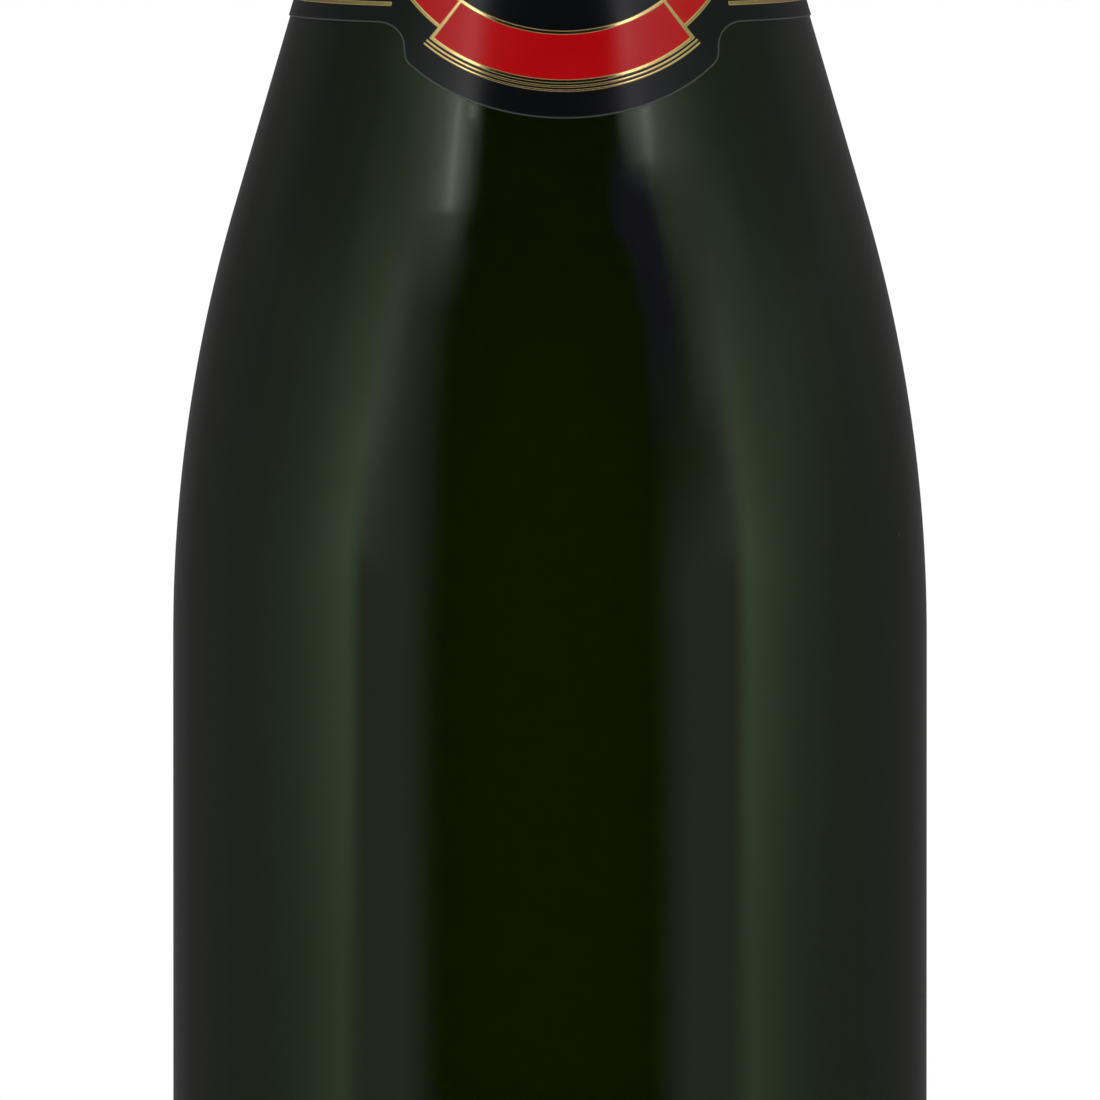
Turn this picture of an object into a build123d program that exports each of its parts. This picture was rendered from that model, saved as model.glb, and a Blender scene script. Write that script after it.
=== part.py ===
# A sealed 75 cl champagne bottle, standing on its base, with its wine, cork, wire cage, foil and labels.
# Millimetres. +Z is up, the origin is the centre of the base, and the labels face -Y.
# Every round piece is a profile of radius and height turned about Z.
import os
from math import asin, cos, degrees, pi, radians, sin, sqrt, tan

from build123d import *

os.makedirs("parts", exist_ok=True)

# Glass: the outside
body_radius = 44.4
bottle_height = 301.0
heel_radius = 8.0
bearing_width = 5.4
shoulder_radius = 180.0
flank_angle = 16.3
neck_taper = 2.3
neck_arc_radius = 224.0
neck_straight = 18.0
neck_radius = 13.7

# Glass: the inside
wall = 5.2
bore_radius = 8.75
bore_taper_drop = 22.0
punt_depth = 32.0
punt_top_radius = 12.0
punt_edge_round = 4.0
punt_crown_round = 12.0
base_thickness = 8.8
punt_wall_shift = 2.2
inner_heel_round = 3.5
inner_valley_round = 5.0

# Glass: the finish, the rings round the mouth
finish_height = 21.0
ring_height = 8.6
ring_radius = 15.5
ring_round = 0.7
ring_root_round = 1.0
groove_radius = 13.3
groove_drop = 9.8
crown_height = 7.6
crown_radius = 14.3
crown_round = 2.0
groove_round = 0.5
lip_round = 1.0

# Wine
headspace_height = 48.0
wine_gap = 0.05

# Cork
cork_fit = 0.05
cork_insertion = 25.0
cork_disc_thickness = 5.5
cork_chamfer = 0.8
cork_lip_gap = 0.3
cork_head_radius = 15.4
cork_head_height = 21.0
cork_head_seat = 12.4
cork_head_swell = 3.2
cork_head_round = 3.4

# Wire cage
frame_wire = 0.8
belt_wire_diameter = 1.0
wire_gap = 0.1
strand_gap = 0.06
leg_count = 4
leg_bend_drop = 9.3
leg_foot_length = 5.7
leg_half_turns = 7
leg_bend_radius = 3.4
ring_turn_radius = 1.2
top_ring_radius = 11.8
top_ring_round = 10.0
belt_under_ring = 0.2
hook_round = 0.9
hook_tip_rise = 0.3
belt_stub_bend = 1.0
belt_stub_lap = 1.5
belt_stub_rise = 0.4

# Cage handle: the twisted end of the belt
handle_half_turns = 6
handle_foil_gap = 0.3
handle_root_rise = 0.9
handle_shank_length = 13.0
eye_length = 9.5
eye_half_width = 3.6
eye_round = 3.2
eye_neck_round = 1.5
eye_neck_rise = 3.4
eye_lead = 0.8

# Cap plaque, the printed disc under the cage
plaque_radius = 13.0
plaque_field_radius = 10.0
plaque_step = 0.7
plaque_step_width = 0.9
plaque_thickness = 0.3
plaque_gap = 0.1

# Foil
foil_thickness = 0.15
foil_gap = 0.1
sleeve_lap = 16.9
sleeve_flare_height = 15.0
sleeve_flare_drop = 9.0
foil_joint_gap = 0.1
tear_band_height = 4.0
hood_gap = 0.34
hood_hem_round = 4.0
hood_swell = 0.2
hood_swell_rise = 8.0
hood_shoulder_drop = 11.3
hood_shoulder_inset = 0.3
hood_top_round = 4.5
hood_flange_radius = 9.5
hood_disc_gap = 0.1
notch_margin = 0.5
hood_headroom = 0.3
top_disc_radius = 13.0
top_disc_thickness = 0.2

# Tear tab
tab_length = 11.0
tab_root_angle = -20.0
tab_margin = 0.3

# Labels
label_gap = 0.03
label_thickness = 0.15
label_step = 0.3
roundel_radius = 31.7
roundel_half_width = 18.4
roundel_corner = 2.0
roundel_points = 24
roundel_rise = 19.6
collar_rise = 22.6
collar_height = 28.3
collar_fillet = 2.7
collar_back_gap = 5.0
front_label_bottom = 13.0
front_label_height = 42.0
front_label_width = 92.0
back_label_bottom = 15.0
back_label_height = 38.0
back_label_width = 58.0
label_corner = 2.0

# How far a cutting shape runs past what it cuts
overrun = 5.0

# Worked out from the sizes above
slope = radians(flank_angle)
taper = radians(neck_taper)
punt_mouth_radius = body_radius - heel_radius - bearing_width
ring_bottom = bottle_height - finish_height
groove_bottom = bottle_height - groove_drop
crown_bottom = bottle_height - crown_height

neck_centre = (
    neck_radius + neck_straight * tan(taper) + neck_arc_radius * cos(taper),
    ring_bottom - neck_straight + neck_arc_radius * sin(taper),
)
flank_foot_radius = body_radius - shoulder_radius * (1 - cos(slope))
flank_top_radius = neck_centre[0] - neck_arc_radius * cos(slope)
flank_height = (flank_foot_radius - flank_top_radius) / tan(slope)
flank_foot = neck_centre[1] - neck_arc_radius * sin(slope) - flank_height
cylinder_top = flank_foot - shoulder_radius * sin(slope)
shoulder_centre = (body_radius - shoulder_radius, cylinder_top)

collar_bottom = flank_foot + collar_rise
collar_top = collar_bottom + collar_height
neck_label_centre = collar_bottom + roundel_rise
sleeve_bottom = collar_bottom + sleeve_lap

cork_bottom = bottle_height - cork_insertion
cork_head_bottom = bottle_height + cork_lip_gap
cork_top = cork_head_bottom + cork_head_height
fill_level = cork_bottom - headspace_height
plaque_bottom = cork_top + plaque_gap
top_ring_z = plaque_bottom + plaque_thickness + wire_gap / 2 + frame_wire / 2

belt_z = ring_bottom - belt_under_ring - belt_wire_diameter / 2
hook_reach = (belt_wire_diameter + frame_wire) / 2 + wire_gap
strand_offset = (frame_wire + strand_gap) / 2
leg_half_depth = strand_offset + frame_wire / 2
leg_radius = max(ring_radius, cork_head_radius) + wire_gap + leg_half_depth
leg_twist_top = cork_top - leg_bend_drop
leg_twist_bottom = belt_z + leg_foot_length
belt_radius = leg_radius - hook_reach
hood_radius = leg_radius + leg_half_depth + hood_gap
handle_strand_offset = (belt_wire_diameter + strand_gap) / 2
handle_half_depth = handle_strand_offset + belt_wire_diameter / 2
handle_radius = hood_radius + hood_swell + foil_thickness + handle_foil_gap + handle_half_depth

sleeve_flare_top = ring_bottom - sleeve_flare_drop
sleeve_flare_bottom = sleeve_flare_top - sleeve_flare_height
tear_band_bottom = sleeve_flare_top + foil_joint_gap
hood_bottom = tear_band_bottom + tear_band_height + foil_joint_gap
top_disc_bottom = top_ring_z + frame_wire / 2 + hood_headroom
hood_flange_bottom = top_disc_bottom + top_disc_thickness + hood_disc_gap
hood_swell_height = ring_bottom + hood_swell_rise
hood_shoulder_height = hood_flange_bottom - hood_shoulder_drop

tab_radius = hood_radius + foil_thickness + foil_joint_gap + foil_thickness / 2
tab_z = tear_band_bottom + tear_band_height / 2
tab_hinge = (
    tab_radius * cos(radians(tab_root_angle)),
    tab_radius * sin(radians(tab_root_angle)),
    tab_z,
)
handle_hinge = (handle_radius, 0, belt_z)


def side_point(angle, outset):
    """A point of the flank's lower or upper arc, where the wall leans by that angle."""
    return (
        shoulder_centre[0] + (shoulder_radius + outset) * cos(angle),
        shoulder_centre[1] + (shoulder_radius + outset) * sin(angle),
    )


def neck_point(angle, outset):
    """A point of the hollow arc between flank and neck, where the wall leans by that angle."""
    return (
        neck_centre[0] - (neck_arc_radius - outset) * cos(angle),
        neck_centre[1] - (neck_arc_radius - outset) * sin(angle),
    )


def side_radius(z, outset=0.0):
    """The radius of the bottle's side at height z, moved out square to the wall by outset."""
    if z <= cylinder_top:
        return body_radius + outset
    if z <= side_point(slope, outset)[1]:
        arc = shoulder_radius + outset
        return shoulder_centre[0] + sqrt(arc**2 - (z - shoulder_centre[1]) ** 2)
    if z <= neck_point(slope, outset)[1]:
        foot = side_point(slope, outset)
        return foot[0] - (z - foot[1]) * tan(slope)
    if z <= neck_point(taper, outset)[1]:
        arc = neck_arc_radius - outset
        return neck_centre[0] - sqrt(arc**2 - (z - neck_centre[1]) ** 2)
    head = neck_point(taper, outset)
    return head[0] - (z - head[1]) * tan(taper)


def side_curve(outset, top):
    """The bottle's side from the cylinder's top to height top, moved out by outset."""
    foot = (body_radius + outset, cylinder_top)
    shoulder = ThreePointArc(foot, side_point(slope / 2, outset), side_point(slope, outset))
    flank = Line(shoulder @ 1, neck_point(slope, outset))
    hollow = ThreePointArc(
        flank @ 1,
        neck_point((slope + taper) / 2, outset),
        neck_point(taper, outset),
    )
    neck = Line(hollow @ 1, (side_radius(top, outset), top))
    return [shoulder, flank, hollow, neck]


def turned(edges):
    """A solid of revolution about Z. Profiles are drawn as X for the radius and Y for the height."""
    return turned_face(make_face(Curve() + edges))


def turned_face(face):
    """A profile's face turned into a solid."""
    return revolve(Plane.XZ * face, Axis.Z)


def slab(low, high):
    """A wide disc between two heights, to cut round pieces level."""
    return Pos(0, 0, (low + high) / 2) * Cylinder(body_radius + overrun, high - low)


def skin_profile(low, high, inner, outer):
    """The profile of a thin sleeve that follows the bottle's side between two heights."""
    top = ring_bottom - overrun
    inside = side_curve(inner, top)
    outside = side_curve(outer, top)
    ends = [Line(inside[0] @ 0, outside[0] @ 0), Line(inside[-1] @ 1, outside[-1] @ 1)]
    band = Pos(body_radius / 2, (low + high) / 2) * Rectangle(body_radius + 2 * overrun, high - low)
    return make_face(Curve() + [*inside, *outside, *ends]) & band


def cavity(inset):
    """The bottle's hollow, drawn in by inset, from the punt to above the lip."""
    depth = -wall - inset
    top = ring_bottom - bore_taper_drop
    side = side_curve(depth, top)
    floor = base_thickness + inset
    valley = punt_mouth_radius + punt_wall_shift + inset
    crown = punt_top_radius + punt_wall_shift + inset
    bottom = FilletPolyline(
        side[0] @ 0,
        (body_radius + depth, floor),
        (valley, floor),
        (crown, punt_depth + floor),
        (0, punt_depth + floor),
        radius=[inner_heel_round, inner_valley_round, punt_crown_round + punt_wall_shift],
    )
    mouth = Polyline(
        side[-1] @ 1,
        (bore_radius - inset, bottle_height - cork_insertion / 2),
        (bore_radius - inset, bottle_height + overrun),
        (0, bottle_height + overrun),
        (0, punt_depth + floor),
    )
    return turned([*side, bottom, mouth])


def glass_bottle():
    """Bottle: punt, heel, body, shoulder, neck, cage ring and crown ring, with its hollow."""
    bearing_outer = body_radius - heel_radius
    side = side_curve(0.0, ring_bottom - ring_root_round)
    foot = FilletPolyline(
        (0, punt_depth),
        (punt_top_radius, punt_depth),
        (punt_mouth_radius, 0),
        (bearing_outer, 0),
        radius=[punt_crown_round, punt_edge_round],
    )
    heel_middle = heel_radius * (1 - cos(pi / 4))
    heel = ThreePointArc(
        foot @ 1,
        (body_radius - heel_middle, heel_middle),
        (body_radius, heel_radius),
    )
    body = Line(heel @ 1, side[0] @ 0)
    finish = FilletPolyline(
        side[-1] @ 1,
        (neck_radius, ring_bottom),
        (ring_radius, ring_bottom),
        (ring_radius, ring_bottom + ring_height),
        (groove_radius, groove_bottom),
        (groove_radius, crown_bottom - groove_round),
        (crown_radius, crown_bottom + groove_round),
        (crown_radius, bottle_height),
        (bore_radius, bottle_height),
        (bore_radius, bottle_height - crown_round),
        radius=[
            ring_root_round / 2,
            ring_round,
            ring_round,
            groove_round,
            groove_round / 2,
            groove_round / 2,
            crown_round,
            lip_round,
        ],
    )
    axis = Polyline(
        finish @ 1,
        (0, bottle_height - crown_round),
        (0, punt_depth),
    )
    return turned([foot, heel, body, *side, finish, axis]) - cavity(0.0)


def wine():
    """The wine, with the headspace above it left free."""
    return cavity(wine_gap) & slab(0, fill_level)


def cork_disc(low):
    """One of the two natural cork discs at the cork's foot."""
    radius = bore_radius - cork_fit
    return Pos(0, 0, low + cork_disc_thickness / 2) * Cylinder(radius, cork_disc_thickness)


def cork_disc_lower():
    """The disc that meets the wine, with its edge taken off."""
    disc = cork_disc(cork_bottom)
    return chamfer(disc.edges().sort_by(Axis.Z)[0], cork_chamfer)


def cork_body():
    """The agglomerate cork: a shaft in the bore and a mushroom head on the lip."""
    shaft = bore_radius - cork_fit
    foot = cork_bottom + 2 * cork_disc_thickness
    head = FilletPolyline(
        (0, foot),
        (shaft, foot),
        (shaft, cork_head_bottom),
        (cork_head_seat, cork_head_bottom),
        (cork_head_radius, cork_head_bottom + cork_head_swell),
        (cork_head_radius, cork_top),
        (0, cork_top),
        radius=[
            cork_chamfer / 4,
            cork_chamfer / 4,
            cork_head_swell / 2,
            cork_head_swell / 2,
            cork_head_round,
        ],
    )
    return turned([head, Line((0, cork_top), (0, foot))])


def cap_plaque():
    """The stamped disc on the cork, with a raised field and a flange that the cage's ring holds down."""
    field_low = plaque_bottom + plaque_step
    step_end = plaque_field_radius + plaque_step_width
    outline = Polyline(
        (0, field_low),
        (plaque_field_radius, field_low),
        (step_end, plaque_bottom),
        (plaque_radius, plaque_bottom),
        (plaque_radius, plaque_bottom + plaque_thickness),
        (step_end + plaque_thickness / 2, plaque_bottom + plaque_thickness),
        (plaque_field_radius + plaque_thickness / 2, field_low + plaque_thickness),
        (0, field_low + plaque_thickness),
        (0, field_low),
    )
    return turned([outline])


def tube(path, diameter):
    """A round wire along a path."""
    return sweep(Plane(origin=path @ 0, z_dir=path % 0) * Circle(diameter / 2), path=path)


def twisted_strand(start, axis_point, length, angle, diameter):
    """One strand of a twisted pair, which turns by angle, in degrees, as it rises by length."""
    section = Pos(*start) * Circle(diameter / 2)
    return Solid.extrude_linear_with_rotation(
        section.faces()[0].outer_wire(),
        axis_point,
        (0, 0, length),
        angle,
    )


def leg_place(angle, radius, across, z):
    """A point near a leg: at that angle round the cage, that far out and that far to its side."""
    a = radians(angle)
    return (radius * cos(a) - across * sin(a), radius * sin(a) + across * cos(a), z)


def cage_wire(number):
    """One wire of the cage: down one leg, round a quarter of the top ring, and down the next leg."""
    step = 360 / leg_count
    first = step * (number - 1) + step / 2
    second = first + step
    corner_radius = top_ring_radius / cos(radians(step / 2))
    path = FilletPolyline(
        leg_place(first, leg_radius, strand_offset, leg_twist_top),
        leg_place(first, leg_radius, strand_offset, top_ring_z),
        leg_place(first, top_ring_radius, strand_offset, top_ring_z),
        leg_place(first + step / 2, corner_radius, 0, top_ring_z),
        leg_place(second, top_ring_radius, -strand_offset, top_ring_z),
        leg_place(second, leg_radius, -strand_offset, top_ring_z),
        leg_place(second, leg_radius, -strand_offset, leg_twist_top),
        radius=[leg_bend_radius, ring_turn_radius, top_ring_round, ring_turn_radius, leg_bend_radius],
    )
    wire = tube(path, frame_wire)
    twist = 180 * leg_half_turns
    length = leg_twist_top - leg_twist_bottom
    foot_side = strand_offset * (-1) ** leg_half_turns
    for angle, side in ((first, 1), (second, -1)):
        start = leg_place(angle, leg_radius, side * foot_side, leg_twist_bottom)
        centre = leg_place(angle, leg_radius, 0, leg_twist_bottom)
        wire += twisted_strand(start, centre, length, twist, frame_wire)
        wire += leg_hook(angle, side * foot_side)
    return wire


def leg_hook(angle, across):
    """The foot of one strand, bent under the belt and up behind it."""
    low = belt_z - hook_reach
    behind = belt_radius - hook_reach
    path = FilletPolyline(
        leg_place(angle, leg_radius, across, leg_twist_bottom),
        leg_place(angle, leg_radius, across, low),
        leg_place(angle, behind, across, low),
        leg_place(angle, behind, across, belt_z + hook_tip_rise),
        radius=hook_round,
    )
    return tube(path, frame_wire)


def belt_wire():
    """The belt under the glass ring, open at +X, where both ends turn out and up to the handle."""
    opening = degrees(asin(belt_stub_lap / belt_radius))
    section = Plane.XZ * Pos(belt_radius, belt_z) * Circle(belt_wire_diameter / 2)
    belt = revolve(Rot(0, 0, opening) * section, Axis.Z, 360 - 2 * opening)
    corner = sqrt(belt_radius**2 - handle_strand_offset**2)
    for side in (1, -1):
        across = side * handle_strand_offset
        path = FilletPolyline(
            (handle_radius, across, belt_z + belt_stub_rise),
            (handle_radius, across, belt_z),
            (corner, across, belt_z),
            (corner, across + side * (belt_stub_lap + belt_stub_bend / 2), belt_z),
            radius=[belt_stub_rise / 2, belt_stub_bend / 2],
        )
        belt += tube(path, belt_wire_diameter)
    return belt


def twist_handle():
    """The belt's two ends, twisted together and closed in an eye, folded up against the foil."""
    foot = belt_z + handle_root_rise
    top = foot + handle_shank_length
    centre = (handle_radius, 0, foot)
    wide = eye_half_width
    path = FilletPolyline(
        (handle_radius, handle_strand_offset, top),
        (handle_radius, handle_strand_offset, top + eye_lead),
        (handle_radius, wide, top + eye_lead + eye_neck_rise),
        (handle_radius, wide, top + eye_lead + eye_length),
        (handle_radius, -wide, top + eye_lead + eye_length),
        (handle_radius, -wide, top + eye_lead + eye_neck_rise),
        (handle_radius, -handle_strand_offset, top + eye_lead),
        (handle_radius, -handle_strand_offset, top),
        radius=[eye_lead / 2, eye_neck_round, eye_round, eye_round, eye_neck_round, eye_lead / 2],
    )
    handle = tube(path, belt_wire_diameter)
    twist = 180 * handle_half_turns
    for side in (1, -1):
        start = (handle_radius, side * handle_strand_offset, foot)
        handle += twisted_strand(start, centre, handle_shank_length, twist, belt_wire_diameter)
    return handle


def foil_sleeve():
    """The lower foil: close on the neck, then flared to the width of the cage."""
    outer = foil_gap + foil_thickness
    on_neck = skin_profile(sleeve_bottom, sleeve_flare_bottom, foil_gap, outer)
    flare = Polyline(
        (side_radius(sleeve_flare_bottom, foil_gap), sleeve_flare_bottom),
        (hood_radius, sleeve_flare_top),
        (hood_radius + foil_thickness, sleeve_flare_top),
        (side_radius(sleeve_flare_bottom, outer), sleeve_flare_bottom),
        close=True,
    )
    return turned_face(on_neck + make_face(flare))


def foil_ring(low, high, inner):
    """A plain ring of foil between two heights."""
    outer = inner + foil_thickness
    points = [(inner, low), (inner, high), (outer, high), (outer, low)]
    return turned([Polyline(*points, close=True)])


def tear_band():
    """The strip that is torn off to free the hood."""
    return foil_ring(tear_band_bottom, tear_band_bottom + tear_band_height, hood_radius)


def tear_tab():
    """The loose end of the tear band, lying on it, to pull on."""
    span = degrees(tab_length / tab_radius)
    section = Rectangle(foil_thickness, tear_band_height - 2 * tab_margin)
    face = Plane.XZ * Pos(tab_radius, tab_z) * section
    return revolve(Rot(0, 0, tab_root_angle - span) * face, Axis.Z, span)


def hood_profile(outset):
    """The hood's skirt from its hem to its flange, moved out by outset."""
    top = hood_flange_bottom + outset
    return FilletPolyline(
        (hood_radius + outset, hood_bottom),
        (hood_radius + hood_swell + outset, hood_swell_height),
        (hood_radius - hood_shoulder_inset + outset, hood_shoulder_height),
        (hood_radius - hood_shoulder_inset + outset, top),
        (hood_flange_radius, top),
        radius=[
            hood_hem_round,
            hood_top_round,
            hood_top_round + outset,
        ],
    )


def foil_hood():
    """The foil over cork and cage, turned in at the top and notched at its hem for the handle."""
    inside = hood_profile(0.0)
    outside = hood_profile(foil_thickness)
    ends = [Line(inside @ 0, outside @ 0), Line(inside @ 1, outside @ 1)]
    notch_half_width = handle_half_depth + notch_margin
    notch_top = belt_z + belt_wire_diameter / 2 + notch_margin
    notch_foot = hood_bottom - overrun
    notch = Pos(hood_radius, 0, (notch_foot + notch_top) / 2) * Box(
        2 * overrun, 2 * notch_half_width, notch_top - notch_foot
    )
    return turned([inside, outside, *ends]) - notch


def foil_top_disc():
    """The round foil patch that closes the hood's top from inside."""
    middle = top_disc_bottom + top_disc_thickness / 2
    return Pos(0, 0, middle) * Cylinder(top_disc_radius, top_disc_thickness)


def roundel_outline():
    """The neck label's round middle from the front: a circle on the flat label, cut straight at both sides."""
    points = []
    for i in range(roundel_points):
        turn = 2 * pi * i / roundel_points
        z = neck_label_centre + roundel_radius * cos(turn) * cos(slope)
        radius = side_radius(z)
        points.append((radius * sin(roundel_radius * sin(turn) / radius), z))
    circle = make_face(Spline(*points, periodic=True))
    outline = circle & Pos(0, neck_label_centre) * Rectangle(2 * roundel_half_width, 2 * body_radius)
    corners = [v for v in outline.vertices() if abs(v.X) > roundel_half_width - label_gap]
    return fillet(corners, roundel_corner)


def neck_label():
    """The collar label: a round middle in front and two wings that nearly meet behind, over the sleeve."""
    reach = body_radius + overrun
    middle = (collar_bottom + collar_top) / 2
    band = Pos(0, middle) * Rectangle(2 * reach, collar_top - collar_bottom)
    outline = roundel_outline() + band
    half_height = (collar_top - collar_bottom) / 2
    on_band = [v for v in outline.vertices() if abs(abs(v.Y - middle) - half_height) < label_gap]
    outline = fillet([v for v in on_band if abs(v.X) < body_radius], collar_fillet)
    front = extrude(Plane.XZ * outline, reach)
    back = slab(collar_bottom, collar_top) & Pos(0, reach / 2, 0) * Box(2 * reach, reach, 2 * bottle_height)
    gap = Pos(0, reach / 2, 0) * Box(collar_back_gap, reach, 2 * bottle_height)
    low, high = neck_label_centre - roundel_radius, neck_label_centre + roundel_radius
    over_foil = foil_gap + foil_thickness + label_gap
    step_top = sleeve_bottom - label_gap
    step_foot = step_top - label_step
    on_glass = skin_profile(low, step_top, label_gap, label_gap + label_thickness)
    step = skin_profile(step_foot, step_top, label_gap, over_foil + label_thickness)
    on_foil = skin_profile(step_foot, high, over_foil, over_foil + label_thickness)
    return turned_face(on_glass + step + on_foil) & (front + back - gap)


def body_label(low, height, width, facing):
    """A label on the body, cut from one thin sleeve. facing is -1 for the front and 1 for the back."""
    inner = body_radius + label_gap
    outer = inner + label_thickness
    half = inner * sin(width / 2 / inner)
    outline = Pos(0, low + height / 2) * RectangleRounded(2 * half, height, label_corner)
    prism = extrude(Plane.XZ * outline, -facing * (outer + overrun))
    ring = Pos(0, 0, low + height / 2) * (
        Cylinder(outer, height + overrun) - Cylinder(inner, height + 2 * overrun)
    )
    return ring & prism


def front_label():
    return body_label(front_label_bottom, front_label_height, front_label_width, -1)


def back_label():
    return body_label(back_label_bottom, back_label_height, back_label_width, 1)


pieces = {
    "glass_bottle": glass_bottle(),
    "wine": wine(),
    "foil_sleeve": foil_sleeve(),
    "tear_band": tear_band(),
    "neck_label": neck_label(),
    "front_label": front_label(),
    "back_label": back_label(),
    "cork_body": cork_body(),
    "cork_disc_upper": cork_disc(cork_bottom + cork_disc_thickness),
    "cork_disc_lower": cork_disc_lower(),
    "cap_plaque": cap_plaque(),
    "belt_wire": belt_wire(),
    "twist_handle": twist_handle(),
    "foil_hood": foil_hood(),
    "foil_top_disc": foil_top_disc(),
    "tear_tab": tear_tab(),
}
for number in range(1, leg_count + 1):
    pieces[f"cage_wire_{number}"] = cage_wire(number)

print("handle hinge", handle_hinge, "tab hinge", tab_hinge)
for name, shape in pieces.items():
    print(name, "solids", len(shape.solids()), "volume", round(shape.volume, 2))
    export_step(shape, f"parts/{name}.step")
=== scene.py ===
from math import asin, cos, degrees, exp, pi, radians, sin, sqrt, tan

import bpy
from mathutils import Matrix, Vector, geometry, kdtree, noise


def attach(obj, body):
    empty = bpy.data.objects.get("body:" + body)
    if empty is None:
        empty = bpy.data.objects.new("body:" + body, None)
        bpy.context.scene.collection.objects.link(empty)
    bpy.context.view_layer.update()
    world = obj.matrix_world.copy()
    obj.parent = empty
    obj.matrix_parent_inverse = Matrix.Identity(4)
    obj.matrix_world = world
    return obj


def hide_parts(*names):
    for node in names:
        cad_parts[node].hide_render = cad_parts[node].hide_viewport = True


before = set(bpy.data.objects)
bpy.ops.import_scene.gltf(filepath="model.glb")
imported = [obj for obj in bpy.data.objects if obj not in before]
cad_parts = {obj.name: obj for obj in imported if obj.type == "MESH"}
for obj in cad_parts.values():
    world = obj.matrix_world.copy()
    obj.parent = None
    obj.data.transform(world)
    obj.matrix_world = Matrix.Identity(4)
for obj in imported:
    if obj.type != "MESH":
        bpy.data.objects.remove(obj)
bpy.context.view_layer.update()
MM = 0.001

# Sizes, repeated from the part's source
body_radius, bottle_height, heel_radius, bearing_width = 44.4, 301.0, 8.0, 5.4
shoulder_radius, neck_arc_radius, neck_straight, neck_radius = 180.0, 224.0, 18.0, 13.7
slope, taper = radians(16.3), radians(2.3)
wall, bore_radius, bore_taper_drop, cork_insertion = 5.2, 8.75, 22.0, 25.0
punt_depth, punt_top_radius, punt_edge_round, punt_crown_round = 32.0, 12.0, 4.0, 12.0
base_thickness, punt_wall_shift, inner_heel_round, inner_valley_round = 8.8, 2.2, 3.5, 5.0
finish_height, ring_height, ring_radius, ring_round, ring_root_round = 21.0, 8.6, 15.5, 0.7, 1.0
groove_radius, groove_drop, crown_height, crown_radius = 13.3, 9.8, 7.6, 14.3
crown_round, groove_round, lip_round = 2.0, 0.5, 1.0
headspace_height, wine_gap = 48.0, 0.05
foil_thickness, foil_gap = 0.15, 0.1
hood_radius, hood_swell, hood_shoulder_inset, hood_top_round = 17.6, 0.2, 0.3, 4.5
hood_flange_radius, hood_flange_bottom, hood_hem_round = 9.5, 324.15, 4.0
sleeve_bottom, sleeve_flare_bottom, sleeve_flare_top, sleeve_flare_round = 200.02, 256.0, 271.0, 24.0
tear_band_bottom, tear_band_top = 271.1, 275.1
hood_bottom, hood_swell_height, hood_shoulder_height = 275.2, 288.0, 312.85
notch_half_width, notch_top = 1.53, 280.3
label_gap, label_thickness, label_corner = 0.03, 0.15, 2.0
front_label_size, front_label_bottom = (92.0, 42.0), 13.0
back_label_size, back_label_bottom = (58.0, 38.0), 15.0
roundel_radius, roundel_rise, collar_fillet, collar_back_gap = 31.7, 19.6, 2.7, 5.0
roundel_half_width, roundel_corner, collar_rise, collar_height = 18.4, 2.0, 22.6, 28.3

bearing_outer = body_radius - heel_radius
punt_mouth_radius = bearing_outer - bearing_width
ring_bottom = bottle_height - finish_height
groove_bottom = bottle_height - groove_drop
crown_bottom = bottle_height - crown_height
neck_centre = (
    neck_radius + neck_straight * tan(taper) + neck_arc_radius * cos(taper),
    ring_bottom - neck_straight + neck_arc_radius * sin(taper),
)
flank_foot_radius = body_radius - shoulder_radius * (1 - cos(slope))
flank_height = (flank_foot_radius - neck_centre[0] + neck_arc_radius * cos(slope)) / tan(slope)
flank_foot = neck_centre[1] - neck_arc_radius * sin(slope) - flank_height
cylinder_top = flank_foot - shoulder_radius * sin(slope)
shoulder_centre = (body_radius - shoulder_radius, cylinder_top)
collar_bottom = flank_foot + collar_rise
collar_top = collar_bottom + collar_height
roundel_z = collar_bottom + roundel_rise
fill_level = bottle_height - cork_insertion - headspace_height

# The neck label's print. The banner is a piece of a ring, and its ends splay.
banner_radius, banner_width, banner_half_turn, banner_splay = 24.3, 6.25, radians(35.65), 0.075
banner_inset, frame_radii, frame_width = 0.75, (21.35, 25.5), 0.4
below_banner, neck_rosette = ((27.85, 0.2), (28.35, 0.18)), 12.0
red_ring_radius, red_ring_width, clear_radius = 23.45, 3.9, 27.0
rule_inset, rule_width, rule_start = 2.2, 0.42, radians(41.0)


# Profiles
def arc_point(centre, reach, lean):
    """A point of the side's arc round that centre, where the wall leans by that angle."""
    return centre[0] + reach * cos(lean), centre[1] + reach * sin(lean)


def side_radius(z, outset=0.0):
    """The radius of the bottle's side at height z, moved out square to the wall by outset."""
    if z <= cylinder_top:
        return body_radius + outset
    foot = arc_point(shoulder_centre, shoulder_radius + outset, slope)
    if z <= foot[1]:
        return shoulder_centre[0] + sqrt((shoulder_radius + outset) ** 2 - (z - shoulder_centre[1]) ** 2)
    if z <= arc_point(neck_centre, outset - neck_arc_radius, slope)[1]:
        return foot[0] - (z - foot[1]) * tan(slope)
    head = arc_point(neck_centre, outset - neck_arc_radius, taper)
    if z <= head[1]:
        return neck_centre[0] - sqrt((neck_arc_radius - outset) ** 2 - (z - neck_centre[1]) ** 2)
    return head[0] - (z - head[1]) * tan(taper)


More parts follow.
